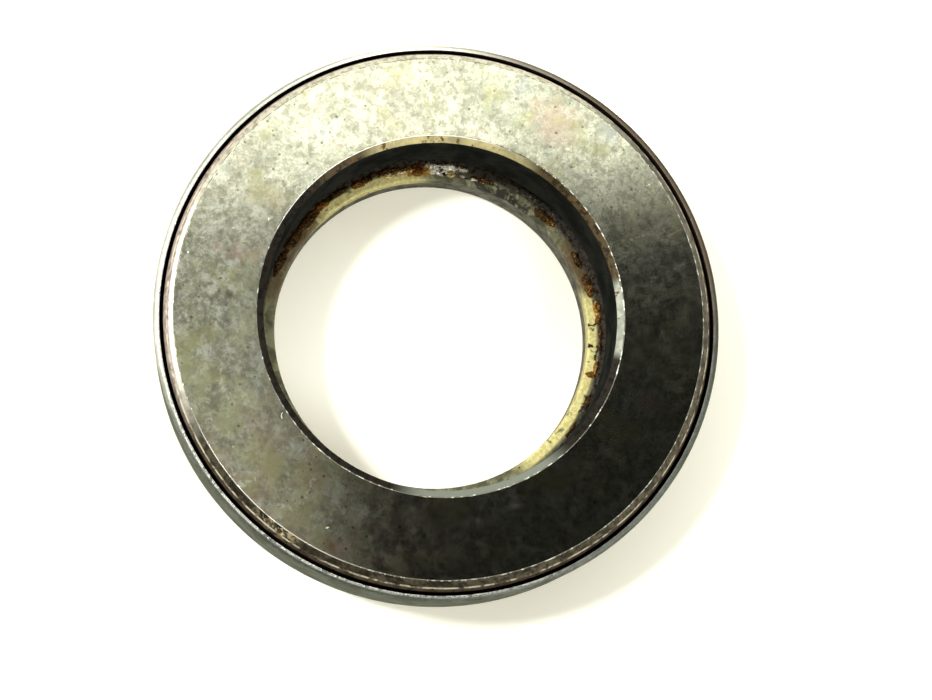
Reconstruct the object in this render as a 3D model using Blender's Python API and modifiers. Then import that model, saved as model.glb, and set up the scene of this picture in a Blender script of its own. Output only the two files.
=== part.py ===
"""Thrust ball bearing with a pressed steel shell.

Two hardened washers, each with a ball groove, hold a ring of balls in a pressed cage. A thin shell is
rolled in under the bottom washer and stands open round the top one, which turns freely inside it.
Units are metres. The origin is the centre of the resting face, and +Z is the bearing's axis.
"""

import math

import bmesh
import bpy
from mathutils import Matrix

MM = 0.001

# Driving dimensions of the whole bearing
HEIGHT = 16.2 * MM
SHELL_R = 36.6 * MM
SHAFT_BORE_R = 21.0 * MM
TOP_BORE_R = 22.75 * MM

# Balls
BALL_COUNT = 22
BALL_R = 3.175 * MM
PITCH_R = 28.5 * MM
GROOVE_R = BALL_R + 0.3 * MM

# Heights of the two flat lands that face each other across the balls
LOWER_LAND_Z = 4.4 * MM
UPPER_LAND_Z = 7.7 * MM
BALL_Z = (LOWER_LAND_Z + UPPER_LAND_Z) / 2

# Pressed sheet
SHEET = 0.65 * MM
FIT_GAP = 0.3 * MM
SHELL_CORNER_R = 5.6 * MM
SHELL_FOOT_Z = 0.6 * MM
SHELL_TOP_Z = HEIGHT - 1.65 * MM

SEGMENTS = 60
CAGE_SEGMENTS = 3 * BALL_COUNT
FULL_TURN = 2 * math.pi


def clear_scene():
    for obj in list(bpy.data.objects):
        bpy.data.objects.remove(obj, do_unlink=True)


def new_collection(name):
    collection = bpy.data.collections.new(name)
    bpy.context.scene.collection.children.link(collection)
    return collection


def metal(name, colour, roughness):
    """A plain bare-metal material."""
    material = bpy.data.materials.new(name)
    material.use_nodes = True
    shader = material.node_tree.nodes["Principled BSDF"]
    shader.inputs["Base Color"].default_value = (*colour, 1.0)
    shader.inputs["Roughness"].default_value = roughness
    shader.inputs["Metallic"].default_value = 1.0
    return material


def arc(centre_r, centre_z, radius, start_deg, end_deg, steps):
    """Points on an arc in the radius and height plane, angles from +R towards +Z."""
    angles = [math.radians(start_deg + (end_deg - start_deg) * i / steps) for i in range(steps + 1)]
    return [(centre_r + radius * math.cos(a), centre_z + radius * math.sin(a)) for a in angles]


def apply_modifiers(obj):
    """Turns the object's modifiers into plain mesh, smooth but for its sharp corners."""
    bpy.context.view_layer.update()
    evaluated = obj.evaluated_get(bpy.context.evaluated_depsgraph_get())
    mesh = bpy.data.meshes.new_from_object(evaluated)
    obj.modifiers.clear()
    obj.data = mesh
    mesh.shade_smooth()
    mesh.set_sharp_from_angle(angle=math.radians(30))


def turned(name, profile, segments, collection):
    """A closed profile turned round the Z axis. It runs outwards over the top and down its outer side."""
    mesh = bpy.data.meshes.new(name)
    vertices = [(r, 0.0, z) for r, z in profile]
    edges = [(i, (i + 1) % len(profile)) for i in range(len(profile))]
    mesh.from_pydata(vertices, edges, [])
    obj = bpy.data.objects.new(name, mesh)
    collection.objects.link(obj)
    screw = obj.modifiers.new("turn", "SCREW")
    screw.axis = "Z"
    screw.angle = FULL_TURN
    screw.steps = segments
    screw.render_steps = segments
    return obj


def groove_edges(land_z):
    """Half the angle, in degrees, that a ball groove's arc takes away from a land at this height."""
    return math.degrees(math.asin(abs(land_z - BALL_Z) / GROOVE_R))


def make_top_washer(collection, material):
    """The thick washer: a ground face with a 45 degree outer chamfer, and a ball groove below."""
    face_inner_r = TOP_BORE_R + 0.9 * MM
    face_outer_r = 34.05 * MM
    washer_r = 35.35 * MM
    chamfer = 0.9 * MM
    shoulder = 0.9 * MM
    bore_chamfer_depth = 0.45 * MM
    lower_chamfer = 0.4 * MM
    edge = groove_edges(UPPER_LAND_Z)
    profile = [
        (face_inner_r, HEIGHT),
        (face_outer_r, HEIGHT),
        (face_outer_r + chamfer, HEIGHT - chamfer),
        (washer_r, HEIGHT - chamfer - shoulder),
        (washer_r, UPPER_LAND_Z + lower_chamfer),
        (washer_r - lower_chamfer, UPPER_LAND_Z),
        *arc(PITCH_R, BALL_Z, GROOVE_R, edge, 180 - edge, 8),
        (TOP_BORE_R + lower_chamfer, UPPER_LAND_Z),
        (TOP_BORE_R, UPPER_LAND_Z + lower_chamfer),
        (TOP_BORE_R, HEIGHT - bore_chamfer_depth),
    ]
    washer = turned("top_washer", profile, SEGMENTS, collection)
    washer.data.materials.append(material)
    apply_modifiers(washer)
    return washer


def make_bottom_washer(collection, material):
    """The washer under the balls: a smaller bore, and a rounded lower corner that the shell grips."""
    corner_r = SHELL_CORNER_R - SHEET - FIT_GAP
    corner_centre_r = SHELL_R - SHELL_CORNER_R
    corner_centre_z = SHELL_FOOT_Z + SHELL_CORNER_R
    foot_r = corner_centre_r - 0.5 * MM
    bore_chamfer = 0.6 * MM
    ledge_chamfer = 0.3 * MM
    edge = groove_edges(LOWER_LAND_Z)
    rim_angle = -math.degrees(math.asin((corner_centre_z - LOWER_LAND_Z) / corner_r))
    profile = [
        (SHAFT_BORE_R + ledge_chamfer, LOWER_LAND_Z),
        *arc(PITCH_R, BALL_Z, GROOVE_R, 180 + edge, 360 - edge, 8),
        *arc(corner_centre_r, corner_centre_z, corner_r, rim_angle, -90, 4),
        (foot_r, corner_centre_z - corner_r),
        (foot_r, 0.0),
        (SHAFT_BORE_R + bore_chamfer, 0.0),
        (SHAFT_BORE_R, bore_chamfer),
        (SHAFT_BORE_R, LOWER_LAND_Z - ledge_chamfer),
    ]
    washer = turned("bottom_washer", profile, SEGMENTS, collection)
    washer.data.materials.append(material)
    apply_modifiers(washer)
    return washer


def make_outer_shell(collection, material):
    """The pressed shell: a round-cornered sheet cup with a soft shoulder at its open rim."""
    corner_centre_r = SHELL_R - SHELL_CORNER_R
    corner_centre_z = SHELL_FOOT_Z + SHELL_CORNER_R
    shoulder = SHEET - 0.05 * MM
    inner_r = SHELL_R - SHEET
    profile = [
        (inner_r, SHELL_TOP_Z),
        *arc(SHELL_R - shoulder, SHELL_TOP_Z - shoulder, shoulder, 90, 0, 3),
        *arc(corner_centre_r, corner_centre_z, SHELL_CORNER_R, 0, -90, 6),
        *arc(corner_centre_r, corner_centre_z, SHELL_CORNER_R - SHEET, -90, 0, 6),
    ]
    shell = turned("outer_shell", profile, SEGMENTS, collection)
    shell.data.materials.append(material)
    apply_modifiers(shell)
    return shell


def make_pocket_cutter(collection):
    """Upright cylinders, one for each ball pocket of the cage."""
    pocket_r = GROOVE_R
    pocket_depth = 4.0 * MM
    shape = bmesh.new()
    for index in range(BALL_COUNT):
        place = Matrix.Rotation(FULL_TURN * index / BALL_COUNT, 4, "Z")
        place = place @ Matrix.Translation((PITCH_R, 0.0, BALL_Z))
        bmesh.ops.create_cone(shape, cap_ends=True, segments=16, radius1=pocket_r,
                              radius2=pocket_r, depth=pocket_depth, matrix=place)
    mesh = bpy.data.meshes.new("pocket_cutter")
    shape.to_mesh(mesh)
    shape.free()
    cutter = bpy.data.objects.new("pocket_cutter", mesh)
    cutter.hide_render = True
    cutter.display_type = "WIRE"
    collection.objects.link(cutter)
    return cutter


def make_ball_cage(collection, cutters, material):
    """One pressed ring: a flat web at ball height with both edges turned down, and a hole per ball."""
    web = 0.8 * MM
    inner_r = 23.8 * MM
    outer_r = 33.2 * MM
    bend = 0.35 * MM
    web_top = BALL_Z + web / 2
    web_bottom = BALL_Z - web / 2
    flange_z = LOWER_LAND_Z + 0.45 * MM
    profile = [
        (inner_r + bend, web_top),
        (outer_r - bend, web_top),
        (outer_r, web_top - bend),
        (outer_r, flange_z),
        (outer_r - web, flange_z),
        (outer_r - web, web_bottom),
        (inner_r + web, web_bottom),
        (inner_r + web, flange_z),
        (inner_r, flange_z),
        (inner_r, web_top - bend),
    ]
    cage = turned("ball_cage", profile, CAGE_SEGMENTS, collection)
    cage.data.materials.append(material)
    cut = cage.modifiers.new("pockets", "BOOLEAN")
    cut.operation = "DIFFERENCE"
    cut.object = make_pocket_cutter(cutters)
    apply_modifiers(cage)
    return cage


def make_ball_mesh(material):
    shape = bmesh.new()
    bmesh.ops.create_uvsphere(shape, u_segments=12, v_segments=8, radius=BALL_R)
    mesh = bpy.data.meshes.new("ball")
    shape.to_mesh(mesh)
    shape.free()
    mesh.materials.append(material)
    mesh.shade_smooth()
    return mesh


def make_balls(collection, cage, material):
    """The ring of balls. Each one's origin is its centre, and its local X axis points outwards."""
    mesh = make_ball_mesh(material)
    for index in range(BALL_COUNT):
        angle = FULL_TURN * index / BALL_COUNT
        ball = bpy.data.objects.new(f"ball_{index + 1:02d}", mesh)
        ball.location = (PITCH_R * math.cos(angle), PITCH_R * math.sin(angle), BALL_Z)
        ball.rotation_euler = (0.0, 0.0, angle)
        ball.parent = cage
        collection.objects.link(ball)


def main():
    clear_scene()
    bearing = new_collection("thrust_ball_bearing")
    cutters = new_collection("cutters")
    ground_steel = metal("ground_steel", (0.40, 0.41, 0.36), 0.42)
    race_steel = metal("race_steel", (0.36, 0.35, 0.29), 0.45)
    shell_steel = metal("shell_steel", (0.30, 0.31, 0.28), 0.50)
    cage_steel = metal("cage_steel", (0.28, 0.22, 0.15), 0.55)
    ball_steel = metal("ball_steel", (0.62, 0.62, 0.60), 0.15)

    bottom_washer = make_bottom_washer(bearing, race_steel)
    shell = make_outer_shell(bearing, shell_steel)
    shell.parent = bottom_washer
    cage = make_ball_cage(bearing, cutters, cage_steel)
    cage.parent = bottom_washer
    make_balls(bearing, cage, ball_steel)
    top_washer = make_top_washer(bearing, ground_steel)
    top_washer.parent = bottom_washer


main()
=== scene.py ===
"""A used thrust ball bearing in a pressed steel shell: its finished surfaces, built round the solid parts."""

import math
from functools import reduce

import bmesh
import bpy
from mathutils import Matrix, Vector


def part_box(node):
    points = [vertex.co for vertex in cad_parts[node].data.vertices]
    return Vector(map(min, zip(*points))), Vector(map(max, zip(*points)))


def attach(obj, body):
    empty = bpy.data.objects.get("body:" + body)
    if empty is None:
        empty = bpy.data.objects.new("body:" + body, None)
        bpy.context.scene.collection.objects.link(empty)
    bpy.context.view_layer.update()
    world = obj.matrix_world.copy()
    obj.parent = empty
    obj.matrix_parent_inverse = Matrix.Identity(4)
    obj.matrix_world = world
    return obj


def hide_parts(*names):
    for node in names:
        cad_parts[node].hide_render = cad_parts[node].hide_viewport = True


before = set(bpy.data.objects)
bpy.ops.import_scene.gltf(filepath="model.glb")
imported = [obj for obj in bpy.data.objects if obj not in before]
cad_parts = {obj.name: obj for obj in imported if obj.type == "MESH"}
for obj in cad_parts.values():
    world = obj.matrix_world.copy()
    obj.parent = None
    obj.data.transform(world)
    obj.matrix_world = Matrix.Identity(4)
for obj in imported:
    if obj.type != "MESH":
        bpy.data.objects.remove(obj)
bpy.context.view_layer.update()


# Bottom washer
# The hardened ring that stays still. It is turned and ground from bearing steel, with a ball groove above
# and a rounded lower corner that the shell is rolled round. Its bore is the smaller of the two.

MM = 0.001


def reach_of(name):
    """The smallest and largest radius of a CAD node, and its lowest and highest point."""
    points = [v.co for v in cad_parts[name].data.vertices]
    radii = [math.hypot(p.x, p.y) for p in points]
    heights = [p.z for p in points]
    return min(radii), max(radii), min(heights), max(heights)


def arc(centre, radius, start_deg, end_deg, steps):
    """Plain corners along an arc in the radius and height plane, angles from outwards towards up."""
    angles = [math.radians(start_deg + (end_deg - start_deg) * i / steps) for i in range(steps + 1)]
    return [(centre[0] + radius * math.cos(a), centre[1] + radius * math.sin(a), 0, 0) for a in angles]


def outline(name, corners, pitch):
    """A closed outline as a mesh of edges. A corner is (radius, height, rounding, wear), and the outline
    runs outwards over the top. Guard points on each side of a rounded corner keep the flats flat, but
    a side too short for those of both its ends has none."""
    guard = 0.05 * MM
    crowded = 2.2
    points = []
    for index, (radius, height, rounding, wear) in enumerate(corners):
        here = Vector((radius, height))
        if rounding == 0:
            points.append((here, 0, wear))
            continue
        before = Vector(corners[index - 1][:2]) - here
        after = Vector(corners[(index + 1) % len(corners)][:2]) - here
        away = rounding * math.tan((math.pi - before.angle(after)) / 2)
        for arm, step in ((before, 2), (before, 1), (None, 0), (after, 1), (after, 2)):
            reach = away + step * guard
            if arm is None:
                points.append((here, rounding, wear))
            elif arm.length > crowded * reach:
                points.append((here + arm.normalized() * reach, 0, 0))
    mesh = bpy.data.meshes.new(name)
    places = [(p.x - pitch, -p.y, 0) for p, rounding, wear in points]
    mesh.from_pydata(places, [(i, (i + 1) % len(points)) for i in range(len(points))], [])
    for label, column in (("rounding", 1), ("wear", 2)):
        attribute = mesh.attributes.new(label, "FLOAT", "POINT")
        attribute.data.foreach_set("value", [point[column] for point in points])
    return mesh


def new_tree(kind, name, inputs, outputs):
    """An empty node group with named sockets, and its two ends."""
    tree = bpy.data.node_groups.new(name, kind)
    for label, socket in inputs.items():
        tree.interface.new_socket(label, in_out="INPUT", socket_type="NodeSocket" + socket)
    for label, socket in outputs.items():
        tree.interface.new_socket(label, in_out="OUTPUT", socket_type="NodeSocket" + socket)
    return tree, tree.nodes.new("NodeGroupInput").outputs, tree.nodes.new("NodeGroupOutput").inputs


def feed(tree, socket, value):
    """Links another node's socket to this one, or sets a plain value on it."""
    if isinstance(value, bpy.types.NodeSocket):
        tree.links.new(value, socket)
    else:
        socket.default_value = value


def add(tree, kind, *values, **settings):
    """A new node, with its inputs filled in order or by name."""
    made = tree.nodes.new(kind)
    named = settings.pop("named", {})
    for label, value in settings.items():
        setattr(made, label, value)
    for key, value in [*enumerate(values), *named.items()]:
        if value is not None:
            feed(tree, made.inputs[key], value)
    return made


def maths(tree, operation, *values, clamp=False):
    return add(tree, "ShaderNodeMath", *values, operation=operation, use_clamp=clamp).outputs[0]


def vectors(tree, operation, *values):
    return add(tree, "ShaderNodeVectorMath", *values, operation=operation).outputs


def scaled(tree, vector, scale):
    return vectors(tree, "SCALE", vector, None, None, scale)[0]


def ramp(tree, value, low, high, to_low=0.0, to_high=1.0):
    """A smooth step from to_low to to_high as value goes from low to high."""
    return add(tree, "ShaderNodeMapRange", value, low, high, to_low, to_high,
               interpolation_type="SMOOTHSTEP").outputs[0]


def soft_step(tree, value, middle, soft, *ends):
    """A smooth step that starts soft before a middle value and ends soft after it."""
    low = maths(tree, "SUBTRACT", middle, soft)
    return ramp(tree, value, low, maths(tree, "ADD", middle, soft), *ends)


def point_value(tree, name, kind="FLOAT"):
    """A value that each point of the source mesh carries."""
    return add(tree, "GeometryNodeInputNamedAttribute", name, data_type=kind).outputs[0]


def push_out(tree, geometry, distance):
    """Moves each point along its normal."""
    offset = scaled(tree, add(tree, "GeometryNodeInputNormal").outputs[0], distance)
    return add(tree, "GeometryNodeSetPosition", named={"Geometry": geometry, "Offset": offset}).outputs[0]


def end_tree(tree, geometry, material, end):
    """Makes what a tree has built real, gives it its material and hands it out."""
    real = add(tree, "GeometryNodeRealizeInstances", geometry).outputs[0]
    coated = add(tree, "GeometryNodeSetMaterial", named={"Geometry": real, "Material": material})
    tree.links.new(coated.outputs[0], end)


def ring_tree():
    """Rounds an outline's corners, turns it round the axis and nicks the edges that are worn."""
    tree, given, made = new_tree("GeometryNodeTree", "turned ring", {
        "Outline": "Geometry", "Pitch Radius": "Float", "Segments": "Int", "Nick Depth": "Float",
        "Nick Size": "Float", "Seed": "Float", "Material": "Material"}, {"Ring": "Geometry"})
    curve = add(tree, "GeometryNodeMeshToCurve", given["Outline"]).outputs[0]
    rounding = point_value(tree, "rounding")
    curve = add(tree, "GeometryNodeFilletCurve", curve, 4, rounding, True, mode="POLY").outputs[0]
    circle = add(tree, "GeometryNodeCurvePrimitiveCircle",
                 named={"Resolution": given["Segments"], "Radius": given["Pitch Radius"]}).outputs[0]
    ring = add(tree, "GeometryNodeCurveToMesh", named={"Curve": circle, "Profile Curve": curve}).outputs[0]
    scale = maths(tree, "DIVIDE", 1.0, given["Nick Size"])
    noise = add(tree, "ShaderNodeTexNoise", noise_dimensions="4D", named={
        "Vector": add(tree, "GeometryNodeInputPosition").outputs[0], "W": given["Seed"],
        "Scale": scale, "Detail": 3.0, "Roughness": 0.6}).outputs[0]
    nick = maths(tree, "MULTIPLY", ramp(tree, noise, 0.54, 0.74), point_value(tree, "wear"))
    depth = maths(tree, "MULTIPLY", nick, maths(tree, "MULTIPLY", given["Nick Depth"], -1.0))
    end_tree(tree, push_out(tree, ring, depth), given["Material"], made["Ring"])
    return tree


def grown(name, source, tree, values):
    """The object that a node tree makes from a source mesh, as a plain closed mesh that faces outwards."""
    obj = bpy.data.objects.new(name, source)
    bpy.context.scene.collection.objects.link(obj)
    modifier = obj.modifiers.new(tree.name, "NODES")
    modifier.node_group = tree
    for item in tree.interface.items_tree:
        if item.in_out == "INPUT" and item.name in values:
            modifier[item.identifier] = values[item.name]
    bpy.context.view_layer.update()
    mesh = bpy.data.meshes.new_from_object(obj.evaluated_get(bpy.context.evaluated_depsgraph_get()))
    obj.modifiers.clear()
    obj.data = mesh
    shape = bmesh.new()
    shape.from_mesh(mesh)
    bmesh.ops.remove_doubles(shape, verts=shape.verts, dist=0.0005 * MM)
    bmesh.ops.recalc_face_normals(shape, faces=shape.faces)
    shape.to_mesh(mesh)
    shape.free()
    mesh.shade_smooth()
    mesh.set_sharp_from_angle(angle=math.radians(40))
    return obj


turned_ring = ring_tree()


def turned(name, corners, pitch_r, segments, nick_depth, nick_size, seed, material):
    """A ring with this outline, nicked in millimetres where its edges are worn."""
    return grown(name, outline(name + "_outline", corners, pitch_r), turned_ring, {
        "Pitch Radius": pitch_r, "Segments": segments, "Nick Depth": nick_depth * MM,
        "Nick Size": nick_size * MM, "Seed": seed, "Material": material})


def place_group():
    """Where a point of a turned piece is: in millimetres, as a radius and height, and which way out."""
    tree, given, made = new_tree("ShaderNodeTree", "turned place", {"Object": "Vector"}, {
        "Place": "Vector", "Radius": "Float", "Height": "Float", "Heading": "Vector"})
    per_metre = 1000.0
    place = scaled(tree, given["Object"], per_metre)
    flat = vectors(tree, "MULTIPLY", place, (1, 1, 0))[0]
    radius = vectors(tree, "LENGTH", flat)["Value"]
    heading = vectors(tree, "NORMALIZE", flat)[0]
    height = add(tree, "ShaderNodeSeparateXYZ", place).outputs["Z"]
    for label, socket in (("Place", place), ("Radius", radius), ("Height", height), ("Heading", heading)):
        tree.links.new(socket, made[label])
    return tree


def band_group():
    """1 between two values and 0 outside them, with soft edges."""
    tree, given, made = new_tree("ShaderNodeTree", "band", {
        "Value": "Float", "From": "Float", "To": "Float", "Soft": "Float"}, {"Mask": "Float"})
    rise = soft_step(tree, given["Value"], given["From"], given["Soft"])
    fall = soft_step(tree, given["Value"], given["To"], given["Soft"], 1.0, 0.0)
    tree.links.new(maths(tree, "MULTIPLY", rise, fall), made["Mask"])
    return tree


def sector_group():
    """1 within a half angle of a heading, in degrees round the axis from +X, with soft ends."""
    tree, given, made = new_tree("ShaderNodeTree", "sector", {
        "Heading": "Vector", "Middle": "Float", "Half": "Float", "Soft": "Float"}, {"Mask": "Float"})
    middle = maths(tree, "RADIANS", given["Middle"])
    towards = add(tree, "ShaderNodeCombineXYZ", maths(tree, "COSINE", middle),
                  maths(tree, "SINE", middle)).outputs[0]
    along = vectors(tree, "DOT_PRODUCT", given["Heading"], towards)["Value"]
    away = maths(tree, "DEGREES", maths(tree, "ARCCOSINE", along))
    tree.links.new(soft_step(tree, away, given["Half"], given["Soft"], 1.0, 0.0), made["Mask"])
    return tree


def blotch_group():
    """Cloudy patches of about Size millimetres. A higher Level leaves fewer, and Soft blurs their edges."""
    tree, given, made = new_tree("ShaderNodeTree", "blotches", {
        "Place": "Vector", "Size": "Float", "Level": "Float", "Soft": "Float", "Seed": "Float"},
        {"Mask": "Float"})
    noise = add(tree, "ShaderNodeTexNoise", noise_dimensions="4D", named={
        "Vector": given["Place"], "W": given["Seed"], "Scale": maths(tree, "DIVIDE", 1.0, given["Size"]),
        "Detail": 5.0, "Roughness": 0.62, "Distortion": 0.35}).outputs[0]
    tree.links.new(soft_step(tree, noise, given["Level"], given["Soft"]), made["Mask"])
    return tree


def speck_group():
    """Round specks of about Size millimetres, one in each cell of Spacing, of which Share are there."""
    tree, given, made = new_tree("ShaderNodeTree", "specks", {
        "Place": "Vector", "Spacing": "Float", "Size": "Float", "Share": "Float", "Seed": "Float"},
        {"Mask": "Float"})
    moved = vectors(tree, "ADD", given["Place"], given["Seed"])[0]
    cells = add(tree, "ShaderNodeTexVoronoi", named={
        "Vector": moved, "Scale": maths(tree, "DIVIDE", 1.0, given["Spacing"])})
    chance = add(tree, "ShaderNodeSeparateColor", cells.outputs["Color"])
    there = maths(tree, "LESS_THAN", chance.outputs[0], given["Share"])
    size = maths(tree, "MULTIPLY", given["Size"], maths(tree, "ADD", 0.35, chance.outputs[1]))
    away = maths(tree, "MULTIPLY", cells.outputs["Distance"], given["Spacing"])
    spot = ramp(tree, away, maths(tree, "MULTIPLY", size, 0.45), size, 1.0, 0.0)
    tree.links.new(maths(tree, "MULTIPLY", spot, there), made["Mask"])
    return tree


def scratch_group():
    """Fine straight scratches at an angle, each a short line through its own cell of a stretched grid."""
    tree, given, made = new_tree("ShaderNodeTree", "scratches", {
        "Place": "Vector", "Angle": "Float", "Length": "Float", "Spacing": "Float", "Width": "Float",
        "Share": "Float", "Seed": "Float"}, {"Mask": "Float"})
    turn = add(tree, "ShaderNodeVectorRotate", rotation_type="Z_AXIS", named={
        "Vector": given["Place"], "Angle": maths(tree, "RADIANS", given["Angle"])}).outputs[0]
    along_by = maths(tree, "DIVIDE", 1.0, given["Length"])
    across_by = maths(tree, "DIVIDE", 1.0, given["Spacing"])
    squeeze = add(tree, "ShaderNodeCombineXYZ", along_by, across_by, 0.0).outputs[0]
    grid = vectors(tree, "ADD", vectors(tree, "MULTIPLY", turn, squeeze)[0], given["Seed"])[0]
    cells = add(tree, "ShaderNodeTexVoronoi", named={"Vector": grid, "Scale": 1.0}, voronoi_dimensions="2D")
    gap = vectors(tree, "ABSOLUTE", vectors(tree, "SUBTRACT", grid, cells.outputs["Position"])[0])[0]
    gap = add(tree, "ShaderNodeSeparateXYZ", gap).outputs
    across = maths(tree, "MULTIPLY", gap["Y"], given["Spacing"])
    line = ramp(tree, across, maths(tree, "MULTIPLY", given["Width"], 0.3), given["Width"], 1.0, 0.0)
    ends = ramp(tree, gap["X"], 0.15, 0.4, 1.0, 0.0)
    chance = add(tree, "ShaderNodeSeparateColor", cells.outputs["Color"]).outputs[0]
    there = maths(tree, "LESS_THAN", chance, given["Share"])
    tree.links.new(maths(tree, "MULTIPLY", maths(tree, "MULTIPLY", line, ends), there), made["Mask"])
    return tree


def stroke_group():
    """A straight mark from Start to End, in millimetres, with soft sides and broken up by noise."""
    tree, given, made = new_tree("ShaderNodeTree", "stroke", {
        "Place": "Vector", "Start": "Vector", "End": "Vector", "Width": "Float"}, {"Mask": "Float"})
    along = vectors(tree, "SUBTRACT", given["End"], given["Start"])[0]
    wander = add(tree, "ShaderNodeTexNoise", named={"Vector": given["Place"], "Scale": 0.9, "Detail": 2.0})
    wander = vectors(tree, "SUBTRACT", wander.outputs["Color"], (0.5, 0.5, 0.5))[0]
    place = vectors(tree, "MULTIPLY_ADD", wander, (1.0, 1.0, 0.0), given["Place"])[0]
    here = vectors(tree, "SUBTRACT", place, given["Start"])[0]
    onto = vectors(tree, "DOT_PRODUCT", here, along)["Value"]
    length_squared = vectors(tree, "DOT_PRODUCT", along, along)["Value"]
    part = maths(tree, "DIVIDE", onto, length_squared, clamp=True)
    away = vectors(tree, "DISTANCE", here, scaled(tree, along, part))["Value"]
    noise = add(tree, "ShaderNodeTexNoise", named={"Vector": given["Place"], "Scale": 2.6, "Detail": 3.0})
    width = maths(tree, "MULTIPLY", given["Width"], ramp(tree, noise.outputs[0], 0.35, 0.6, 0.15, 1.0))
    core = maths(tree, "MULTIPLY", width, 0.4)
    tree.links.new(ramp(tree, away, core, width, 1.0, 0.0), made["Mask"])
    return tree


turned_place = place_group()
band_mask = band_group()
sector_mask = sector_group()
blotch_mask = blotch_group()
speck_mask = speck_group()
scratch_mask = scratch_group()
stroke_mask = stroke_group()


class Finish:
    """A metal's material while its layers are put on, with the masks that the layers use."""

    def __init__(self, name):
        self.material = bpy.data.materials.new(name)
        self.material.use_nodes = True
        self.tree = self.material.node_tree
        self.shader = self.tree.nodes["Principled BSDF"]
        thing = add(self.tree, "ShaderNodeTexCoord").outputs["Object"]
        self.place, self.radius, self.height, self.heading = self.use(turned_place, thing).outputs

    def use(self, group, *values):
        made = self.tree.nodes.new("ShaderNodeGroup")
        made.node_tree = group
        for socket, value in zip(made.inputs, values):
            feed(self.tree, socket, value)
        return made

    def radii(self, low, high, soft):
        return self.use(band_mask, self.radius, low, high, soft).outputs[0]

    def heights(self, low, high, soft):
        return self.use(band_mask, self.height, low, high, soft).outputs[0]

    def sector(self, middle, half, soft):
        return self.use(sector_mask, self.heading, middle, half, soft).outputs[0]

    def blotches(self, size, level, soft, seed):
        return self.use(blotch_mask, self.place, size, level, soft, seed).outputs[0]

    def specks(self, spacing, size, share, seed):
        return self.use(speck_mask, self.place, spacing, size, share, seed).outputs[0]

    def scratches(self, angle, length, spacing, width, share, seed):
        return self.use(scratch_mask, self.place, angle, length, spacing, width, share, seed).outputs[0]

    def strokes(self, level, width, *lines):
        """Several marks on the flat at a height, each as x and y of its two ends."""
        made = [self.use(stroke_mask, self.place, (a, b, level), (c, d, level), width).outputs[0]
                for a, b, c, d in lines]
        return self.either(*made)

    def weak(self, mask, share):
        return maths(self.tree, "MULTIPLY", mask, share)

    def both(self, *masks):
        return reduce(self.weak, masks)

    def either(self, *masks):
        return reduce(lambda one, other: maths(self.tree, "MAXIMUM", one, other), masks)

    def without(self, mask, other):
        return maths(self.tree, "MULTIPLY", mask, maths(self.tree, "SUBTRACT", 1.0, other))

    def colour(self, below, mask, above, kind="MIX"):
        mix = add(self.tree, "ShaderNodeMix", mask, data_type="RGBA", blend_type=kind)
        for socket, value in ((mix.inputs[6], below), (mix.inputs[7], above)):
            feed(self.tree, socket, (*value, 1.0) if isinstance(value, tuple) else value)
        return mix.outputs[2]

    def paint(self, mask, above, share=1.0):
        """Lays one more colour over the base, where the mask is, at a share of its full strength."""
        if share < 1.0:
            mask = self.weak(mask, share)
        self.base = self.colour(self.base, mask, above)

    def number(self, below, mask, above):
        return add(self.tree, "ShaderNodeMix", mask, None, below, above, data_type="FLOAT").outputs[0]

    def finish(self, roughness, height, distance, metallic=1.0):
        bump = add(self.tree, "ShaderNodeBump", named={
            "Height": height, "Strength": 1.0, "Distance": distance}).outputs[0]
        for label, value in (("Base Color", self.base), ("Roughness", roughness), ("Normal", bump),
                             ("Metallic", metallic)):
            feed(self.tree, self.shader.inputs[label], value)
        return self.material


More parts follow.
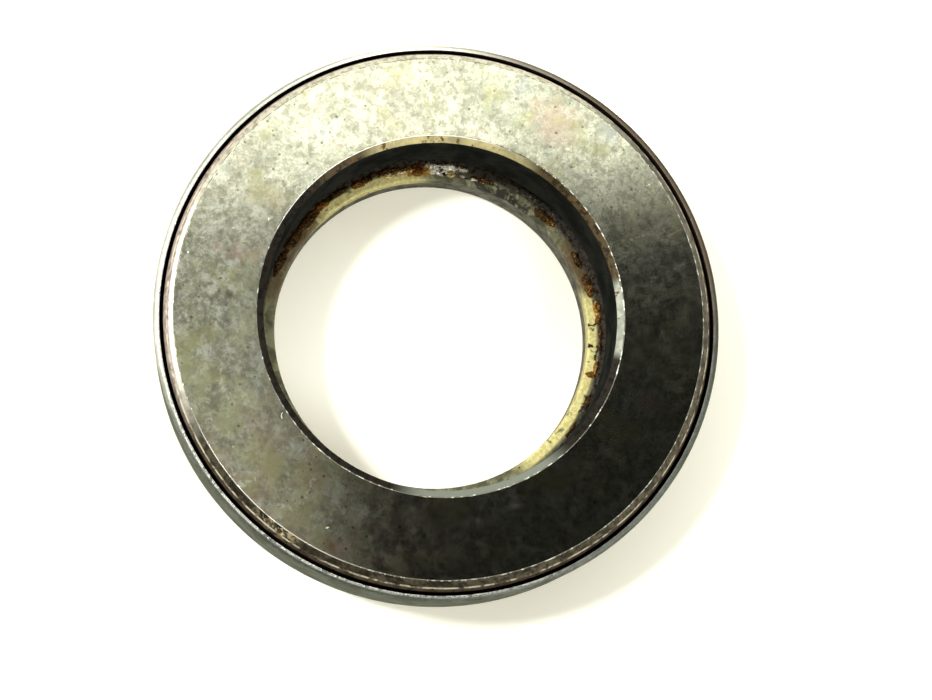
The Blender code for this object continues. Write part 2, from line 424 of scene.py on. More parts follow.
def race_steel():
    """Grey steel, with a strip of dried cream grease round the bore edge and a near-black band outside it,
    painted as the shade under the top washer.
    """
    coat = Finish("race_steel")
    cloud = coat.blotches(1.6, 0.5, 0.12, 3.0)
    fine = coat.blotches(0.5, 0.5, 0.1, 5.0)
    coat.base = coat.colour((0.30, 0.30, 0.24), cloud, (0.17, 0.17, 0.13))
    coat.paint(fine, (0.08, 0.075, 0.05), 0.35)
    above = coat.heights(4.0, 6.0, 0.08)
    ledge = coat.both(above, coat.radii(20.0, 25.2, 0.1))
    bore = coat.both(coat.radii(20.0, 21.2, 0.1), coat.heights(-1.0, 4.15, 0.15))
    coat.paint(bore, coat.colour((0.10, 0.10, 0.065), cloud, (0.035, 0.035, 0.025)))
    # Dull olive all round, cream where the grease has dried, brown where it has rusted
    olive = coat.colour((0.22, 0.215, 0.115), cloud, (0.08, 0.078, 0.04))
    olive = coat.colour(olive, coat.both(coat.sector(64.0, 16.0, 8.0), coat.blotches(1.1, 0.47, 0.06, 19.0)),
                        (0.02, 0.019, 0.012))
    coat.paint(ledge, olive)
    dried = coat.either(coat.sector(116.0, 23.0, 6.0), coat.sector(-20.0, 36.0, 6.0))
    strip = coat.both(coat.radii(20.9, 22.3, 0.2), coat.heights(2.9, 6.0, 0.25))
    strip = coat.both(strip, dried, coat.blotches(1.3, 0.38, 0.04, 11.0))
    cream = coat.colour((0.72, 0.69, 0.30), fine, (0.58, 0.49, 0.19))
    coat.paint(strip, cream)
    brown = coat.either(coat.sector(26.0, 10.0, 3.0), coat.sector(152.0, 18.0, 4.0))
    brown = coat.both(ledge, brown, coat.blotches(1.0, 0.42, 0.08, 13.0))
    coat.paint(brown, (0.12, 0.075, 0.03), 0.8)
    # Painted shade: the ledge outside 22.6 mm, under the top washer, is painted near black and glossy where
    # it lies in shade.
    grease = coat.both(ledge, coat.radii(22.6, 27.0, 0.25))
    coat.paint(grease, coat.colour((0.05, 0.04, 0.025), fine, (0.012, 0.01, 0.008)))
    cracks = coat.specks(2.2, 0.16, 0.3, 2.0)
    ledge_level = 4.4
    slits = coat.strokes(ledge_level, 0.36, (21.9, 4.7, 22.1, 3.9), (22.3, -1.6, 22.1, -3.2),
                         (21.0, -8.4, 19.9, -10.2), (21.2, 1.6, 21.9, 1.5), (21.1, -1.4, 21.5, -1.5))
    cracks = coat.either(cracks, slits)
    coat.paint(coat.both(cracks, above), (0.012, 0.01, 0.007))
    roughness = coat.number(coat.number(0.35, cloud, 0.5), strip, 0.6)
    roughness = coat.number(roughness, grease, 0.25)
    height = coat.number(coat.number(fine, strip, 2.0), cracks, -1.0)
    metallic = coat.number(coat.number(1.0, ledge, 0.2), bore, 0.5)
    coat.shader.inputs["Specular Tint"].default_value = (0.5, 0.5, 0.48, 1.0)
    return coat.finish(roughness, height, 0.04 * MM, metallic)


def ball_ring():
    """The radius and height of the circle of ball centres, and the radius of the grooves round it."""
    low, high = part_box("ball_01")
    slack = 0.3 * MM
    return (low.x + high.x) / 2, (low.z + high.z) / 2, (high.x - low.x) / 2 + slack


def make_bottom_washer():
    bore_r, outer_r, foot_z, land_z = reach_of("bottom_washer")
    pitch_r, ball_z, groove_r = ball_ring()
    half = math.degrees(math.asin((ball_z - land_z) / groove_r))
    corner_r = 4.65 * MM
    corner_z = 6.2 * MM
    rim = math.asin((corner_z - land_z) / corner_r)
    corner = (outer_r - corner_r * math.cos(rim), corner_z)
    foot_r = 30.5 * MM
    bore_chamfer = 0.6 * MM
    soft = 0.18 * MM
    corners = [
        (bore_r, land_z, 0.3 * MM, 1.0),
        *arc((pitch_r, ball_z), groove_r, 180 + half, 360 - half, 40),
        *arc(corner, corner_r, -math.degrees(rim), -90, 16),
        (foot_r, corner_z - corner_r, soft, 0),
        (foot_r, foot_z, soft, 0),
        (bore_r + bore_chamfer, foot_z, soft, 0.5),
        (bore_r, foot_z + bore_chamfer, soft, 0),
    ]
    ring = turned("bottom_washer_ring", corners, pitch_r, 540, 0.12, 0.8, 4.0, race_steel())
    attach(ring, "housing")
    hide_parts("bottom_washer")


make_bottom_washer()


# Outer shell
# A thin sheet cup, pressed from mild steel and rolled in under the bottom washer. Its open rim stands
# round the top washer with a narrow gap, and handling has worn the rim bright in places.


def shell_steel():
    coat = Finish("shell_steel")
    cloud = coat.blotches(3.0, 0.5, 0.15, 1.0)
    fine = coat.blotches(0.35, 0.5, 0.12, 2.0)
    coat.base = coat.colour((0.18, 0.195, 0.165), cloud, (0.115, 0.122, 0.10))
    coat.paint(fine, (0.07, 0.07, 0.058), 0.45)
    rim = coat.heights(14.0, 15.0, 0.15)
    # Painted highlight: the rim is painted pale round the upper left and near white at the top, where the
    # lamp catches it.
    pale = coat.both(rim, coat.sector(132.0, 66.0, 14.0))
    coat.paint(pale, coat.colour((0.50, 0.50, 0.43), cloud, (0.36, 0.36, 0.30)))
    coat.paint(coat.both(rim, coat.sector(88.0, 24.0, 12.0)), (0.90, 0.88, 0.76))
    brown = coat.both(rim, coat.sector(42.0, 42.0, 14.0))
    coat.paint(brown, (0.115, 0.085, 0.055), 0.85)
    # Painted shade: the inside of the rim, down in the gap round the top washer, is painted near black and
    # browner near its top.
    inside = coat.both(coat.radii(35.0, 35.99, 0.02), coat.heights(6.0, 14.45, 0.05))
    gap_shade = coat.colour((0.045, 0.03, 0.02), fine, (0.015, 0.012, 0.01))
    gap_shade = coat.colour(gap_shade, coat.heights(13.4, 15.0, 0.4), (0.20, 0.15, 0.10))
    coat.paint(inside, gap_shade)
    worn = coat.both(coat.radii(35.80, 36.10, 0.05), coat.heights(14.35, 15.0, 0.06),
                     coat.blotches(0.7, 0.49, 0.05, 7.0), coat.sector(215.0, 75.0, 15.0))
    coat.paint(worn, (0.75, 0.74, 0.64))
    roughness = coat.number(coat.number(0.42, cloud, 0.55), worn, 0.25)
    height = coat.number(fine, worn, 0.0)
    coat.shader.inputs["Specular Tint"].default_value = (0.35, 0.35, 0.33, 1.0)
    return coat.finish(roughness, height, 0.012 * MM)


def make_outer_shell():
    lip_r, outer_r, foot_z, rim_z = reach_of("outer_shell")
    sheet = 0.65 * MM
    corner_r = outer_r - lip_r
    shoulder = sheet - 0.05 * MM
    centre = (lip_r, foot_z + corner_r)
    burr = 0.15 * MM
    burr_reach = 4 * burr
    corners = [
        (outer_r - sheet - burr, rim_z, 0.04 * MM, 0.6),
        *arc((outer_r - shoulder, rim_z - shoulder), shoulder, 90, 0, 8),
        *arc(centre, corner_r, 0, -90, 28),
        *arc(centre, corner_r - sheet, -90, 0, 28),
        (outer_r - sheet, rim_z - burr_reach, 0, 0),
    ]
    ring = turned("outer_shell_cup", corners, lip_r, 720, 0.1, 1.2, 9.0, shell_steel())
    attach(ring, "housing")
    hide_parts("outer_shell")


make_outer_shell()


# Balls
# Twenty-two hardened balls, lapped to a mirror and now dulled by old grease. Each rolls in the grooves
# of both washers.


def ball_steel():
    coat = Finish("ball_steel")
    film = coat.blotches(1.4, 0.5, 0.1, 1.0)
    coat.base = coat.colour((0.60, 0.59, 0.55), film, (0.36, 0.32, 0.22))
    scuffs = coat.scratches(20.0, 1.2, 0.3, 0.03, 0.5, 3.0)
    coat.paint(scuffs, (0.7, 0.7, 0.66))
    return coat.finish(coat.number(0.12, film, 0.35), film, 0.004 * MM)


def ball_tree():
    """One finely divided ball at a centre, given as the source point."""
    tree, given, made = new_tree("GeometryNodeTree", "ball", {
        "Centre": "Geometry", "Radius": "Float", "Material": "Material"}, {"Ball": "Geometry"})
    ball = add(tree, "GeometryNodeMeshIcoSphere", given["Radius"], 5).outputs[0]
    placed = add(tree, "GeometryNodeInstanceOnPoints", named={"Points": given["Centre"], "Instance": ball})
    end_tree(tree, placed.outputs[0], given["Material"], made["Ball"])
    return tree


ball_names = sorted(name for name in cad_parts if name[-2:].isdigit())


def make_balls():
    tree = ball_tree()
    steel = ball_steel()
    for name in ball_names:
        low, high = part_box(name)
        source = bpy.data.meshes.new(name + "_centre")
        source.from_pydata([(low + high) / 2], [], [])
        ball = grown(name + "_polished", source, tree, {"Radius": (high.z - low.z) / 2, "Material": steel})
        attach(ball, name + "_body")
        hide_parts(name)


make_balls()


# Cage
# One ring pressed from steel strip, with a round pocket for each ball and both edges turned down. It
# carries the balls round at half the top washer's speed, and old grease has browned it.


def cage_steel():
    coat = Finish("cage_steel")
    cloud = coat.blotches(1.2, 0.5, 0.1, 4.0)
    coat.base = coat.colour((0.20, 0.15, 0.09), cloud, (0.06, 0.045, 0.03))
    rust = coat.blotches(0.8, 0.56, 0.05, 8.0)
    coat.paint(rust, (0.30, 0.13, 0.03))
    return coat.finish(coat.number(0.45, cloud, 0.7), cloud, 0.03 * MM)


def pocket_tree():
    """Cuts one round pocket for each ball out of a ring, on a circle round the axis."""
    tree, given, made = new_tree("GeometryNodeTree", "ball pockets", {
        "Ring": "Geometry", "Count": "Int", "Pitch Radius": "Float", "Pocket Radius": "Float",
        "Height": "Float", "Material": "Material"}, {"Cage": "Geometry"})
    circle = add(tree, "GeometryNodeMeshCircle", given["Count"], given["Pitch Radius"]).outputs[0]
    lift = add(tree, "ShaderNodeCombineXYZ", 0.0, 0.0, given["Height"]).outputs[0]
    circle = add(tree, "GeometryNodeSetPosition", named={"Geometry": circle, "Offset": lift}).outputs[0]
    drill = add(tree, "GeometryNodeMeshCylinder",
                named={"Vertices": 48, "Radius": given["Pocket Radius"], "Depth": 4 * MM}).outputs[0]
    drills = add(tree, "GeometryNodeInstanceOnPoints", named={"Points": circle, "Instance": drill})
    drills = add(tree, "GeometryNodeRealizeInstances", drills.outputs[0]).outputs[0]
    cut = add(tree, "GeometryNodeMeshBoolean", operation="DIFFERENCE", solver="EXACT",
              named={"Mesh 1": given["Ring"], "Mesh 2": drills})
    end_tree(tree, cut.outputs[0], given["Material"], made["Cage"])
    return tree


def make_cage():
    inner_r, outer_r, flange_z, web_z = reach_of("ball_cage")
    pitch_r, ball_z, pocket_r = ball_ring()
    sheet = 0.8 * MM
    bend = 0.4 * MM
    lip = 0.15 * MM
    corners = [
        (inner_r, web_z, bend, 0),
        (outer_r, web_z, bend, 0),
        (outer_r, flange_z, lip, 0),
        (outer_r - sheet, flange_z, lip, 0),
        (outer_r - sheet, web_z - sheet, lip, 0),
        (inner_r + sheet, web_z - sheet, lip, 0),
        (inner_r + sheet, flange_z, lip, 0),
        (inner_r, flange_z, lip, 0),
    ]
    steel = cage_steel()
    strip = turned("cage_strip", corners, pitch_r, 264, 0.0, 1.0, 0.0, steel)
    cage = grown("ball_cage_ring", strip.data, pocket_tree(), {
        "Count": len(ball_names), "Pitch Radius": pitch_r, "Height": ball_z,
        "Pocket Radius": pocket_r, "Material": steel})
    bpy.data.objects.remove(strip)
    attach(cage, "cage")
    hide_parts("ball_cage")


make_cage()


# Grease lumps and a painted glint
# Old grease that has been pushed out between the washers and has dried on the ledge of the bottom one.
# Most of it is rusty brown and a few beads are still yellow; one smear is a painted glint, near-white lumps
# standing in for light seen in the gap between the washers.


def dried_grease_and_glint():
    coat = Finish("dried_grease_and_glint")
    tint = add(coat.tree, "ShaderNodeAttribute", attribute_name="tint").outputs["Color"]
    fine = coat.blotches(0.45, 0.5, 0.1, 2.0)
    dark = coat.blotches(0.8, 0.58, 0.05, 5.0)
    coat.base = coat.colour(tint, coat.weak(fine, 0.5), (0.30, 0.22, 0.15), "MULTIPLY")
    coat.paint(dark, (0.03, 0.018, 0.009), 0.8)
    # Painted glint: lumps with a pale tint are painted near white, with dark cracks, as light seen in the gap
    # between the washers.
    glint_mask = ramp(coat.tree, add(coat.tree, "ShaderNodeSeparateColor", tint).outputs[2], 0.5, 0.7)
    coat.paint(glint_mask, (1.0, 0.96, 0.80))
    cracks = coat.both(glint_mask, coat.blotches(1.0, 0.57, 0.03, 9.0))
    coat.paint(cracks, (0.02, 0.018, 0.014))
    return coat.finish(coat.number(0.25, fine, 0.45), fine, 0.08 * MM)


def lump_tree():
    """A lumpy blob on each source point, with the size, turn and tint that the point carries."""
    tree, given, made = new_tree("GeometryNodeTree", "lumps", {
        "Points": "Geometry", "Lumpiness": "Float", "Material": "Material"}, {"Lumps": "Geometry"})
    size = point_value(tree, "size", "FLOAT_VECTOR")
    turned = add(tree, "ShaderNodeCombineXYZ", 0.0, 0.0, point_value(tree, "turn")).outputs[0]
    ball = add(tree, "GeometryNodeMeshIcoSphere", 0.5, 5).outputs[0]
    ball = add(tree, "GeometryNodeInstanceOnPoints", named={
        "Points": given["Points"], "Instance": ball, "Rotation": turned, "Scale": size})
    ball = add(tree, "GeometryNodeRealizeInstances", ball.outputs[0]).outputs[0]
    noise = add(tree, "ShaderNodeTexNoise", noise_dimensions="4D", named={
        "Vector": add(tree, "GeometryNodeInputPosition").outputs[0], "W": 3.0, "Scale": 1100.0, "Detail": 4.0,
        "Roughness": 0.6})
    push = maths(tree, "MULTIPLY", maths(tree, "SUBTRACT", noise.outputs[0], 0.5), given["Lumpiness"])
    end_tree(tree, push_out(tree, ball, push), given["Material"], made["Lumps"])
    return tree


def make_grease_and_glint_lumps():
    ledge_z = reach_of("bottom_washer")[3]
    rust = (0.38, 0.19, 0.05)
    amber = (0.72, 0.43, 0.12)
    umber = (0.14, 0.08, 0.03)
    yellow = (1.0, 0.84, 0.44)
    # The near-white tint is a painted glint of light in the gap between the washers.
    painted_glint = (1.0, 0.97, 0.80)
    # Azimuth in degrees, radius, then length round the ring, width and height in millimetres, and tint
    lumps = [
        (116.5, 22.4, 2.2, 1.0, 0.9, rust), (113.5, 22.5, 1.6, 0.9, 0.7, umber),
        (109.5, 22.8, 3.2, 0.5, 0.7, umber), (104.5, 22.9, 2.6, 0.5, 0.6, umber),
        (101.5, 22.2, 3.0, 1.0, 1.0, yellow), (106.5, 22.2, 2.2, 0.8, 0.8, yellow),
        (98.5, 22.4, 1.8, 1.4, 0.9, amber), (95.5, 22.4, 2.6, 1.7, 1.1, rust),
        (92.8, 22.3, 1.6, 1.4, 0.8, amber), (83.7, 21.9, 1.3, 0.8, 0.7, yellow),
        (89.5, 22.8, 3.0, 1.1, 1.1, painted_glint), (85.0, 22.9, 3.0, 1.0, 1.1, painted_glint),
        (81.0, 22.9, 2.4, 0.6, 0.9, painted_glint), (88.0, 22.1, 2.8, 0.8, 0.6, painted_glint),
        (77.0, 21.9, 2.6, 0.4, 0.4, painted_glint), (72.0, 22.2, 3.2, 0.7, 0.5, umber),
        (48.0, 22.3, 2.6, 1.3, 0.7, umber), (44.5, 22.4, 1.6, 0.9, 0.6, rust),
        (28.0, 22.2, 2.6, 1.0, 0.6, umber), (20.0, 22.3, 1.9, 1.2, 0.8, umber),
        (16.5, 22.2, 1.8, 1.3, 0.8, rust), (9.0, 22.6, 2.4, 0.9, 0.9, amber),
        (5.5, 22.6, 1.2, 0.7, 0.8, rust), (1.0, 22.7, 2.2, 0.5, 0.6, umber),
        (-4.0, 22.7, 2.0, 0.4, 0.5, umber), (-11.0, 22.5, 2.2, 0.4, 0.7, amber),
        (-14.0, 22.0, 0.8, 1.6, 0.4, rust), (-23.0, 22.7, 2.6, 0.4, 0.5, umber),
        (-34.0, 22.6, 2.8, 0.4, 0.5, umber), (126.0, 22.6, 4.6, 0.7, 0.8, umber),
        (132.0, 22.5, 3.6, 0.8, 0.7, rust), (139.0, 22.3, 4.8, 1.3, 0.7, umber),
        (147.0, 22.2, 4.4, 1.3, 0.7, umber), (156.0, 22.2, 4.6, 1.0, 0.6, umber),
        (205.0, 22.3, 2.6, 0.9, 0.5, umber), (262.0, 22.3, 2.8, 0.9, 0.5, umber),
    ]
    mesh = bpy.data.meshes.new("grease_and_glint_points")
    turns = [math.radians(lump[0]) for lump in lumps]
    lift = 0.05 * MM
    places = [(lump[1] * MM * math.cos(turn), lump[1] * MM * math.sin(turn), ledge_z + lift)
              for lump, turn in zip(lumps, turns)]
    mesh.from_pydata(places, [], [])
    sizes = mesh.attributes.new("size", "FLOAT_VECTOR", "POINT")
    sizes.data.foreach_set("vector", [lump[i] * MM for lump in lumps for i in (3, 2, 4)])
    mesh.attributes.new("turn", "FLOAT", "POINT").data.foreach_set("value", turns)
    tints = mesh.attributes.new("tint", "FLOAT_COLOR", "POINT")
    tints.data.foreach_set("color", [value for lump in lumps for value in (*lump[5], 1.0)])
    # The lumps include the painted glint.
    grease = grown("grease_and_glint_lumps", mesh, lump_tree(), {"Lumpiness": MM, "Material": dried_grease_and_glint()})
    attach(grease, "housing")


make_grease_and_glint_lumps()


# Top washer
# The ring that turns with the load. It is hardened steel with a flat ground face, chamfered outside and
# in the bore. The face is stained by oil and damp, pitted and lightly scratched; its edges are worn.


FACE_LEVEL = 16.2  # in millimetres, as the masks are


def spots(coat, centres, ragged):
    """One mask for several stains, each (x, y, size) in millimetres on the face."""
    made = []
    wobble = maths(coat.tree, "MULTIPLY", coat.blotches(1.5, 0.5, 0.3, 21.0), ragged)
    for x, y, size in centres:
        away = vectors(coat.tree, "DISTANCE", coat.place, (x, y, FACE_LEVEL))["Value"]
        away = maths(coat.tree, "ADD", away, wobble)
        made.append(ramp(coat.tree, away, size * 0.45, size + ragged * 0.5, 1.0, 0.0))
    return coat.either(*made)


def ground_steel():
    coat = Finish("ground_steel")
    grain = coat.blotches(0.28, 0.5, 0.14, 1.0)
    small = coat.blotches(0.75, 0.53, 0.06, 17.0)
    mottle = coat.blotches(1.7, 0.52, 0.10, 2.0)
    cloud = coat.blotches(4.5, 0.5, 0.12, 3.0)
    wide = coat.blotches(13.0, 0.5, 0.12, 4.0)
    left = coat.sector(200.0, 60.0, 30.0)
    coat.base = coat.colour((0.62, 0.63, 0.47), cloud, (0.45, 0.475, 0.36))
    coat.paint(wide, (0.42, 0.36, 0.27), 0.30)
    coat.paint(mottle, (0.25, 0.26, 0.19), 0.46)
    coat.paint(small, (0.17, 0.16, 0.11), 0.52)
    coat.paint(grain, (0.18, 0.185, 0.13), 0.44)
    bloom = coat.both(left, coat.blotches(2.4, 0.54, 0.06, 31.0))
    coat.paint(bloom, (0.70, 0.72, 0.60), 0.5)
    smudge = coat.both(left, coat.blotches(2.0, 0.57, 0.05, 37.0))
    coat.paint(smudge, (0.16, 0.16, 0.115), 0.6)
    freckle = coat.both(left, coat.blotches(0.85, 0.55, 0.05, 61.0))
    coat.paint(freckle, (0.13, 0.13, 0.095), 0.45)
    near_bore = coat.both(coat.sector(195.0, 35.0, 20.0), coat.radii(20.0, 26.5, 2.0))
    coat.paint(near_bore, (0.20, 0.22, 0.165), 0.30)
    earth = coat.both(coat.sector(238.0, 32.0, 22.0), coat.blotches(3.2, 0.50, 0.09, 53.0))
    coat.paint(earth, (0.37, 0.28, 0.19), 0.5)
    moss = coat.both(coat.sector(215.0, 40.0, 25.0), coat.blotches(3.6, 0.53, 0.08, 59.0))
    coat.paint(moss, (0.48, 0.50, 0.28), 0.5)
    # Stains: pinkish brown, olive, blue-grey and a few rust spots
    pink = coat.either(spots(coat, [(-28.6, 7.7, 1.5), (-26.2, 7.2, 1.8), (-24.0, 7.0, 1.4)], 1.8),
                       spots(coat, [(15.0, 25.9, 4.4), (12.5, 28.2, 2.0), (-12.7, -29.9, 2.6)], 2.6),
                       spots(coat, [(26.4, -10.9, 2.2), (-21.5, 14.0, 1.2), (-23.9, -15.2, 1.2)], 1.8))
    coat.paint(pink, (0.42, 0.29, 0.22), 0.50)
    olive = coat.either(spots(coat, [(-28.6, -8.3, 2.4), (-22.0, -19.1, 3.6), (17.5, 25.2, 2.2)], 2.8),
                        spots(coat, [(-24.0, -22.5, 2.2), (-17.5, -25.5, 2.4), (-27.0, 4.5, 1.6)], 2.6),
                        coat.weak(coat.blotches(6.0, 0.59, 0.06, 41.0), 0.8))
    coat.paint(olive, (0.35, 0.34, 0.15), 0.55)
    blue = spots(coat, [(22.1, 24.4, 1.8), (10.4, 30.9, 1.8), (-15.7, 23.8, 2.0)], 2.6)
    coat.paint(blue, (0.28, 0.32, 0.32), 0.5)
    brown = coat.either(spots(coat, [(-25.6, 5.5, 0.9), (-17.6, -20.2, 0.3), (-19.3, -27.8, 0.7)], 1.0),
                        spots(coat, [(26.6, -18.8, 0.6), (9.3, -32.2, 0.4), (-14.0, -30.0, 1.2)], 1.4))
    coat.paint(brown, (0.22, 0.13, 0.07), 0.6)
    dark = coat.either(spots(coat, [(-27.1, 1.6, 0.9), (-7.8, -26.5, 0.5), (-7.5, -28.6, 0.6)], 0.8),
                       coat.specks(0.9, 0.20, 0.34, 5.0), coat.specks(2.4, 0.24, 0.30, 8.0))
    coat.paint(dark, (0.07, 0.065, 0.045), 0.72)
    pale = coat.either(spots(coat, [(9.3, -24.1, 1.2), (4.6, -26.6, 0.6)], 0.8),
                       coat.specks(4.5, 0.16, 0.5, 13.0))
    coat.paint(pale, (0.85, 0.85, 0.72), 0.7)
    # Scratches and nicks that show bare metal
    marks = coat.either(coat.scratches(62.0, 3.0, 2.6, 0.04, 0.10, 1.0),
                        coat.scratches(-28.0, 4.0, 3.2, 0.035, 0.12, 6.0))
    knocks = coat.either(
        coat.strokes(FACE_LEVEL, 0.20, (-22.4, 11.6, -22.3, 11.6), (-26.9, 10.4, -26.8, 10.4),
                     (-32.4, 6.9, -32.2, 6.9)),
        coat.strokes(FACE_LEVEL, 0.18, (26.9, 17.8, 27.1, 18.1), (-14.5, -27.7, -14.1, -27.5),
                     (-20.3, -13.9, -20.1, -13.3)))
    scuffs = coat.either(
        coat.strokes(FACE_LEVEL, 0.42, (-27.7, -6.9, -28.0, -9.6), (-26.3, -20.6, -25.0, -22.6),
                     (-25.0, -22.6, -23.4, -21.6)),
        coat.strokes(FACE_LEVEL, 0.50, (-20.9, -24.9, -18.5, -25.4), (-16.2, -21.6, -16.9, -23.6),
                     (-16.9, -23.6, -18.0, -25.1)),
        coat.strokes(FACE_LEVEL, 0.18, (24.4, 10.4, 26.4, 11.0), (30.2, 2.8, 31.6, 3.5),
                     (4.8, -25.4, 4.7, -26.6)))
    coat.paint(marks, (0.70, 0.71, 0.58), 0.25)
    coat.paint(coat.both(coat.weak(scuffs, 0.6), coat.blotches(0.5, 0.48, 0.08, 23.0)), (0.66, 0.68, 0.54))
    coat.paint(knocks, (0.85, 0.85, 0.72), 0.45)
    # The chamfer and shoulder outside the face: stained brown round most of it, with a painted reflection of
    # the window, pale at the upper left and bright at the left
    chamfer = coat.radii(34.06, 37.0, 0.03)
    stain_and_reflection = coat.colour((0.115, 0.10, 0.068), mottle, (0.045, 0.038, 0.026))
    stain_and_reflection = coat.colour(stain_and_reflection, coat.weak(small, 0.7), (0.022, 0.017, 0.012))
    tan = coat.both(coat.sector(-127.0, 4.0, 3.0), coat.blotches(0.7, 0.53, 0.06, 43.0))
    stain_and_reflection = coat.colour(stain_and_reflection, tan, (0.90, 0.72, 0.42))
    # Painted reflection: pale at the upper left and bright at the left, where the chamfer would mirror the
    # window.
    dim = coat.colour((0.56, 0.55, 0.45), small, (0.33, 0.31, 0.23))
    stain_and_reflection = coat.colour(stain_and_reflection, coat.sector(115.0, 62.0, 16.0), dim)
    bright = coat.colour((0.80, 0.79, 0.68), small, (0.62, 0.58, 0.48))
    stain_and_reflection = coat.colour(stain_and_reflection, coat.sector(178.0, 22.0, 12.0), bright)
    coat.paint(chamfer, stain_and_reflection)
    shoulder = coat.either(coat.radii(34.92, 35.33, 0.05),
                           coat.both(coat.radii(34.62, 35.33, 0.05), coat.sector(165.0, 35.0, 14.0)))
    shoulder = coat.weak(shoulder, 0.9)
    rusty = coat.colour((0.075, 0.056, 0.035), small, (0.03, 0.022, 0.014))
    rosy = coat.colour((0.34, 0.27, 0.22), small, (0.16, 0.115, 0.09))
    coat.paint(shoulder, coat.colour(rusty, coat.sector(150.0, 50.0, 14.0), rosy))
    # Painted shade: the washer's outer side, down in the gap inside the shell, is painted near black.
    side = coat.radii(35.33, 37.0, 0.02)
    coat.paint(side, coat.colour((0.055, 0.04, 0.026), small, (0.022, 0.016, 0.012)))
    # The bore: a chamfer that goes from golden to grey-green round it, with a stretch at the right painted
    # cream as a painted highlight of the lamp, then a blackened wall
    edge = coat.radii(22.0, 23.62, 0.03)
    bevel = coat.colour((0.018, 0.015, 0.011), small, (0.008, 0.007, 0.005))
    gold = coat.colour((0.44, 0.38, 0.18), mottle, (0.26, 0.235, 0.115))
    rust = coat.colour((0.062, 0.046, 0.021), small, (0.022, 0.016, 0.008))
    bevel = coat.colour(bevel, coat.sector(88.0, 29.0, 8.0), gold)
    bevel = coat.colour(bevel, coat.either(coat.sector(36.0, 22.0, 4.0), coat.sector(124.0, 10.0, 6.0)), rust)
    # Painted highlight: the bevel is painted cream at the right, where it would mirror the lamp.
    cream = coat.colour((0.33, 0.34, 0.265), mottle, (0.20, 0.215, 0.165))
    bevel = coat.colour(bevel, coat.sector(0.0, 12.0, 2.0), cream)
    bevel = coat.colour(bevel, coat.sector(-76.0, 25.0, 6.0), (0.17, 0.185, 0.145))
    flecks = coat.both(coat.blotches(0.9, 0.60, 0.04, 47.0), coat.sector(62.0, 72.0, 10.0))
    bevel = coat.colour(bevel, flecks, (0.10, 0.05, 0.02))
    coat.paint(edge, bevel)
    wall = coat.both(coat.radii(22.0, 23.0, 0.06), coat.heights(7.0, 15.7, 0.06))
    soot = coat.colour((0.021, 0.022, 0.018), cloud, (0.009, 0.010, 0.008))
    coat.paint(wall, coat.colour(soot, coat.specks(2.2, 0.12, 0.2, 51.0), (0.5, 0.5, 0.45)))
    # Bright lines where the edges are rubbed
    inner = coat.radii(23.58, 23.70, 0.03)
    outer = coat.radii(34.00, 34.12, 0.03)
    corners = coat.both(coat.either(inner, outer), coat.heights(16.0, 17.0, 0.05))
    coat.paint(corners, (0.06, 0.055, 0.04), 0.7)
    polished = coat.both(coat.either(coat.both(inner, coat.sector(112.0, 40.0, 8.0)),
                                     coat.both(outer, coat.sector(228.0, 20.0, 8.0))),
                         coat.blotches(0.8, 0.36, 0.06, 16.0))
    rubbed = coat.both(corners, coat.either(polished, coat.weak(coat.blotches(0.7, 0.55, 0.04, 15.0), 0.7)))
    lower = coat.both(coat.radii(34.86, 35.02, 0.05), coat.blotches(1.4, 0.50, 0.06, 19.0))
    coat.paint(rubbed, (0.90, 0.89, 0.76))
    coat.paint(lower, (0.75, 0.68, 0.50), 0.7)
    roughness = coat.number(coat.number(0.095, cloud, 0.115), mottle, 0.145)
    roughness = coat.number(roughness, coat.either(olive, pink), 0.13)
    roughness = coat.number(roughness, coat.either(chamfer, edge), 0.38)
    roughness = coat.number(roughness, coat.either(rubbed, knocks), 0.42)
    roughness = coat.number(roughness, wall, 0.5)
    height = coat.number(coat.number(grain, dark, -2.0), coat.either(marks, knocks), -1.0)
    dull = coat.without(coat.either(inner, outer), rubbed)
    metallic = coat.number(coat.number(1.0, edge, 0.1), coat.either(wall, shoulder, dull), 0.0)
    specular = coat.number(coat.number(0.5, edge, 0.03), coat.either(wall, shoulder, dull), 0.0)
    coat.tree.links.new(specular, coat.shader.inputs["Specular IOR Level"])
    return coat.finish(roughness, height, 0.0003 * MM, metallic)


def make_top_washer():
    bore_r, outer_r, land_z, face_z = reach_of("top_washer")
    pitch_r, ball_z, groove_r = ball_ring()
    half = math.degrees(math.asin((land_z - ball_z) / groove_r))
    chamfer = 0.9 * MM
    shoulder = 0.4 * MM
    bore_chamfer_depth = 0.45 * MM
    edge = 0.4 * MM
    soft = 0.06 * MM
    corners = [
        (bore_r + chamfer, face_z, soft, 1.0),
        (outer_r - shoulder - chamfer, face_z, soft, 1.0),
        (outer_r - shoulder, face_z - chamfer, soft, 0.8),
        (outer_r, face_z - 2 * chamfer, soft, 0.3),
        (outer_r, land_z + edge, soft, 0),
        (outer_r - edge, land_z, soft, 0),
        *arc((pitch_r, ball_z), groove_r, half, 180 - half, 40),
        (bore_r + edge, land_z, soft, 0.4),
        (bore_r, land_z + edge, soft, 0.6),
        (bore_r, face_z - bore_chamfer_depth, soft, 0.7),
    ]
    ring = turned("top_washer_ring", corners, pitch_r, 720, 0.14, 1.0, 2.0, ground_steel())
    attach(ring, "top_race")
    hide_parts("top_washer")


make_top_washer()


# Floor and light
# A white sheet under a bright lamp from the upper left, a soft panel behind and a weaker one at the left.


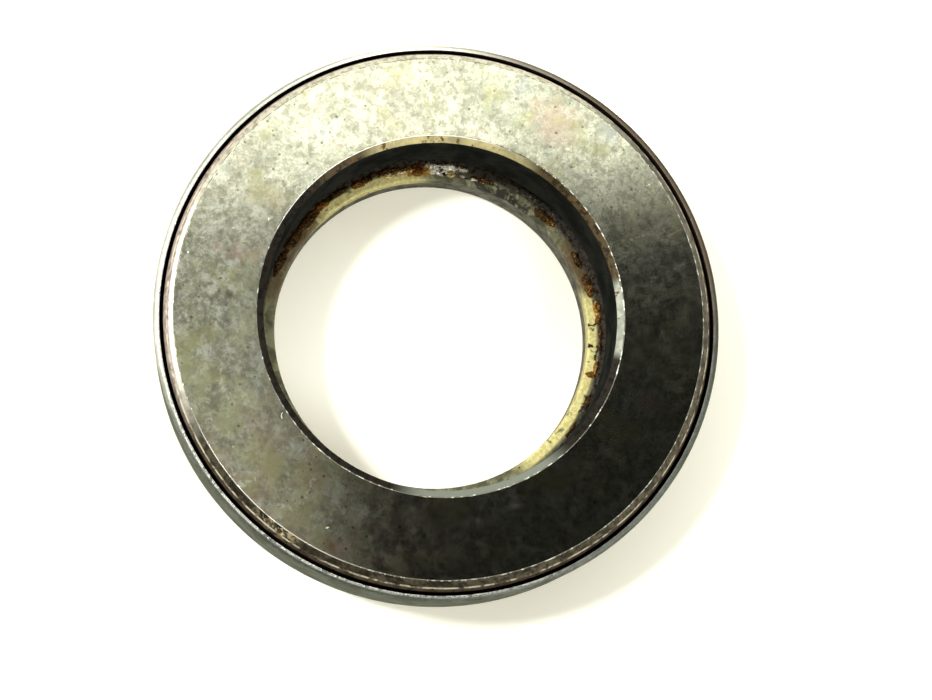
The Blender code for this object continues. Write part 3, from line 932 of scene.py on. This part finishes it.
def flat_sheet(name, centre, reach, material, faces_down=False):
    """A square sheet that reaches this far to each side of its centre."""
    shape = bmesh.new()
    bmesh.ops.create_grid(shape, x_segments=1, y_segments=1, size=reach)
    if faces_down:
        bmesh.ops.reverse_faces(shape, faces=shape.faces)
    bmesh.ops.translate(shape, verts=shape.verts, vec=centre)
    mesh = bpy.data.meshes.new(name)
    shape.to_mesh(mesh)
    shape.free()
    mesh.materials.append(material)
    obj = bpy.data.objects.new(name, mesh)
    bpy.context.scene.collection.objects.link(obj)
    return obj


def make_floor():
    paper = bpy.data.materials.new("white_paper")
    paper.use_nodes = True
    shader = paper.node_tree.nodes["Principled BSDF"]
    shader.inputs["Base Color"].default_value = (0.85, 0.84, 0.76, 1.0)
    shader.inputs["Roughness"].default_value = 0.9
    shader.inputs["Specular IOR Level"].default_value = 0.1
    shader.inputs["Emission Color"].default_value = (1.0, 0.92, 0.56, 1.0)
    shader.inputs["Emission Strength"].default_value = 0.21
    # Nothing of the sheet shows from below, so the foot of the bearing can be seen
    tree = paper.node_tree
    below = add(tree, "ShaderNodeNewGeometry").outputs["Backfacing"]
    clear = add(tree, "ShaderNodeBsdfTransparent").outputs[0]
    either = add(tree, "ShaderNodeMixShader", below, shader.outputs[0], clear).outputs[0]
    tree.links.new(either, tree.nodes["Material Output"].inputs["Surface"])
    clearance = 0.02 * MM
    floor = flat_sheet("floor", (0, 0, -clearance), 3.0, paper)


def softbox(name, centre, reach, strength):
    """A flat glowing sheet that faces down and isn't seen by the camera. strength fills in its material."""
    glow = bpy.data.materials.new(name)
    glow.use_nodes = True
    tree = glow.node_tree
    tree.nodes.remove(tree.nodes["Principled BSDF"])
    place = add(tree, "ShaderNodeTexCoord").outputs["Object"]
    place = add(tree, "ShaderNodeSeparateXYZ", place).outputs
    shine = add(tree, "ShaderNodeEmission", (1.0, 0.99, 0.96, 1.0), strength(tree, *place)).outputs[0]
    tree.links.new(shine, tree.nodes["Material Output"].inputs["Surface"])
    obj = flat_sheet(name, centre, reach, glow, faces_down=True)
    obj.visible_camera = False
    obj.visible_shadow = False


def ceiling_light(tree, x, y, z):
    """Bright behind the bearing, fading towards it, with a dimmer stretch at the left."""
    slant = maths(tree, "MULTIPLY_ADD", x, -0.09, y)
    back = ramp(tree, slant, 0.170, 0.220)
    back = maths(tree, "MULTIPLY", back, ramp(tree, x, 0.05, 0.20, 3.0, 2.2))
    left = ramp(tree, x, 0.044, -0.012, 0.0, 0.78)
    left = maths(tree, "MULTIPLY", left, ramp(tree, y, -0.25, -0.05))
    return maths(tree, "MAXIMUM", maths(tree, "MAXIMUM", back, left), 0.016)


def sun(name, towards, strength, width_deg):
    lamp = bpy.data.lights.new(name, "SUN")
    lamp.energy = strength
    lamp.angle = math.radians(width_deg)
    obj = bpy.data.objects.new(name, lamp)
    obj.rotation_euler = Vector(towards).to_track_quat("Z", "Y").to_euler()
    bpy.context.scene.collection.objects.link(obj)


def make_lights():
    softbox("ceiling", (0.1, 0.1, 0.65), 0.8, ceiling_light)
    sun("lamp", (-0.59, 0.15, 1.0), 2.5, 7)
    sun("fill", (0.5, -0.55, 0.8), 2.1, 25)
    window = bpy.data.lights.new("window", "AREA")
    window.shape = "RECTANGLE"
    window.size = 0.6
    window.size_y = 0.3
    window.energy = 3.0 * math.pi * window.size * window.size_y
    obj = bpy.data.objects.new("window", window)
    obj.location = (-0.7, 0.15, 0.12)
    obj.rotation_euler = Vector(obj.location).to_track_quat("Z", "Y").to_euler()
    obj.visible_camera = False
    bpy.context.scene.collection.objects.link(obj)


def make_world():
    """White to the camera. To the bearing it is a dark room with paler walls, and pale below the floor."""
    world = bpy.data.worlds.new("studio")
    world.use_nodes = True
    tree = world.node_tree
    background = tree.nodes["Background"]
    background.inputs["Color"].default_value = (1.0, 0.99, 0.96, 1.0)
    towards = add(tree, "ShaderNodeTexCoord").outputs["Generated"]
    rise = add(tree, "ShaderNodeSeparateXYZ", towards).outputs["Z"]
    room = ramp(tree, rise, 0.15, 0.55, 0.40, 0.030)
    seen = add(tree, "ShaderNodeLightPath").outputs["Is Camera Ray"]
    strength = add(tree, "ShaderNodeMix", seen, None, room, 1.0).outputs[0]
    tree.links.new(strength, background.inputs["Strength"])
    bpy.context.scene.world = world


def make_camera():
    """The camera stands over the bearing, a little towards the lower left, with +Y up in its view."""
    aim = Vector((3.06, -4.63, 15.66)) * MM
    lean = math.radians(13.44)
    side = math.radians(-122.34)
    distance = 255.2 * MM
    back = Vector((math.sin(lean) * math.cos(side), math.sin(lean) * math.sin(side), math.cos(lean)))
    right = Vector((0, 1, 0)).cross(back).normalized()
    camera = bpy.data.cameras.new("camera")
    camera.sensor_width = 36.0
    camera.lens = 77.25
    camera.clip_start = 0.01
    obj = bpy.data.objects.new("camera", camera)
    turn = Matrix((right, back.cross(right), back)).transposed()
    obj.matrix_world = Matrix.Translation(aim + back * distance) @ turn.to_4x4()
    bpy.context.scene.collection.objects.link(obj)
    bpy.context.scene.camera = obj


make_floor()
make_lights()
make_world()
make_camera()
bpy.context.scene.view_settings.view_transform = "Standard"
